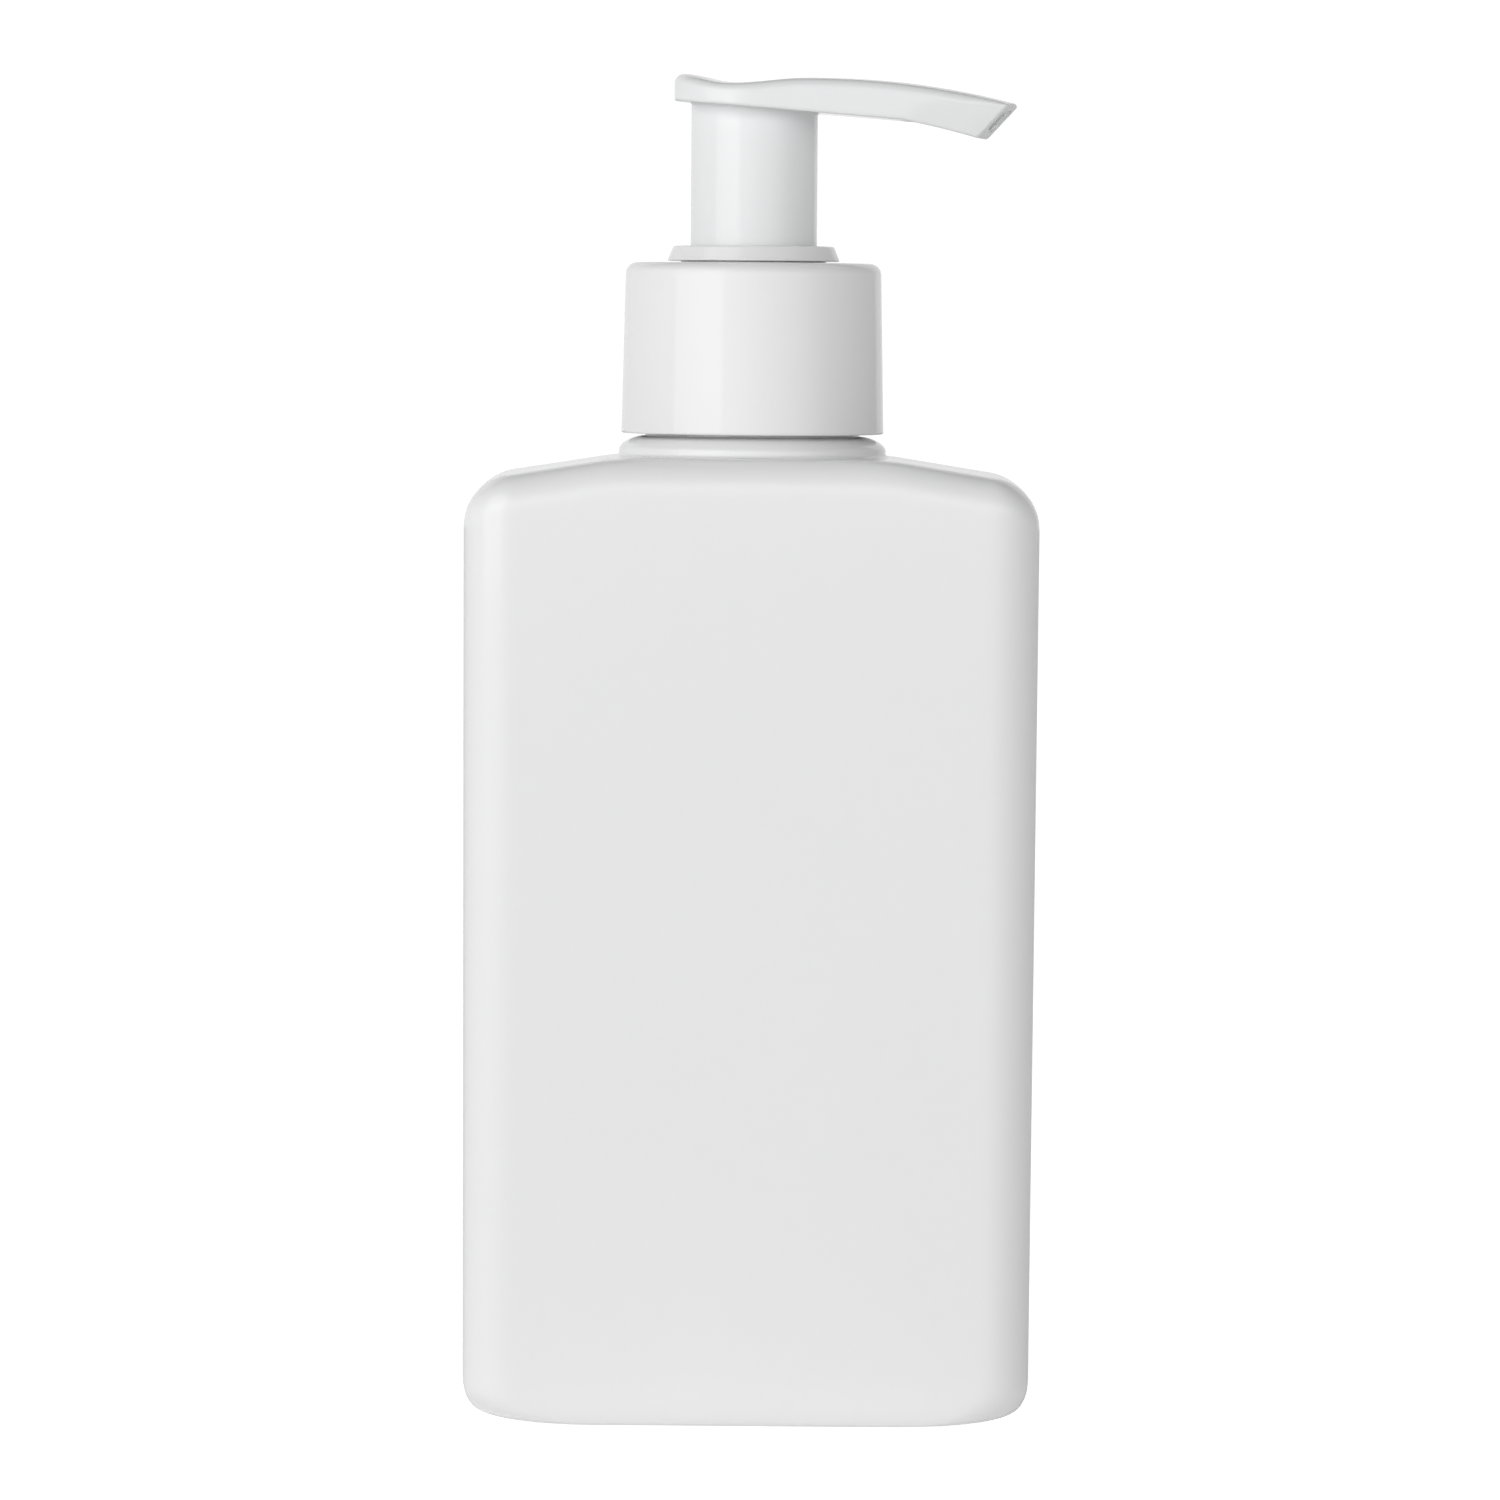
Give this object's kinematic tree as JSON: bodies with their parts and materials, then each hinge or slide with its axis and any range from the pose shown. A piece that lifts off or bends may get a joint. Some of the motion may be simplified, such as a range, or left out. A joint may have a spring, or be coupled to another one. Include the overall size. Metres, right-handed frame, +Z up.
{
  "type": "shampoo pump bottle",
  "caption": "Rectangular white shampoo bottle with rounded corners, a smooth screw collar and a lotion pump whose spout head turns and presses down.",
  "frame": {"origin": "centre of the bottle's base, on the surface it stands on", "axes": "+Z up along the pump axis, +X along the wide face, -Y towards the front face"},
  "size_m": [0.0714, 0.042, 0.1682],
  "materials": {
    "bottle_plastic": "satin white blow-moulded polyethylene",
    "closure_plastic": "smooth white polypropylene",
    "head_plastic": "smooth white polypropylene",
    "housing_plastic": "natural polypropylene",
    "tube_plastic": "natural polyethylene",
    "piston_plastic": "soft white polyethylene",
    "gasket_foam": "white foamed polyethylene",
    "spring_steel": "bright stainless wire",
    "valve_glass": "clear glass ball",
    "valve_steel": "polished stainless ball"
  },
  "bodies": {
    "bottle": {"bottle": "bottle_plastic"},
    "pump": {"pump_housing": "housing_plastic", "lock_ring": "closure_plastic", "neck_gasket": "gasket_foam", "dip_tube": "tube_plastic", "ball_cage": "housing_plastic", "return_spring": "spring_steel"},
    "collar": {"collar": "closure_plastic"},
    "plunger": {"stem": "housing_plastic", "piston": "piston_plastic", "piston_rod": "housing_plastic"},
    "head": {"pump_head": "head_plastic"},
    "inlet_ball": {"inlet_ball": "valve_glass"},
    "outlet_ball": {"outlet_ball": "valve_steel"}
  },
  "joints": [
    {"name": "pump_lift", "type": "slide", "parent": "bottle", "child": "pump", "axis": [0, 0, 1], "range_m": [0, 0.00634]},
    {"name": "collar_turn", "type": "hinge", "parent": "pump", "child": "collar", "pos_m": [0, 0, 0.1339], "axis": [0, 0, 1], "range_deg": [0, 540]},
    {"name": "head_press", "type": "slide", "parent": "pump", "child": "plunger", "axis": [0, 0, -1], "range_m": [0, 0.014], "stiffness_N_per_m": 700, "springref_m": -0.008, "deforming": ["return_spring"]},
    {"name": "head_turn", "type": "hinge", "parent": "plunger", "child": "head", "pos_m": [0, 0, 0.16], "axis": [0, 0, 1], "continuous": true},
    {"name": "inlet_ball_lift", "type": "slide", "parent": "pump", "child": "inlet_ball", "axis": [0, 0, 1], "range_m": [0, 0.0014]},
    {"name": "outlet_ball_lift", "type": "slide", "parent": "plunger", "child": "outlet_ball", "axis": [0, 0, 1], "range_m": [0, 0.0013]}
  ],
  "couplings": [
    {"joint": "collar_turn", "follows": "pump_lift", "rad_per_m": 1485.4}
  ]
}
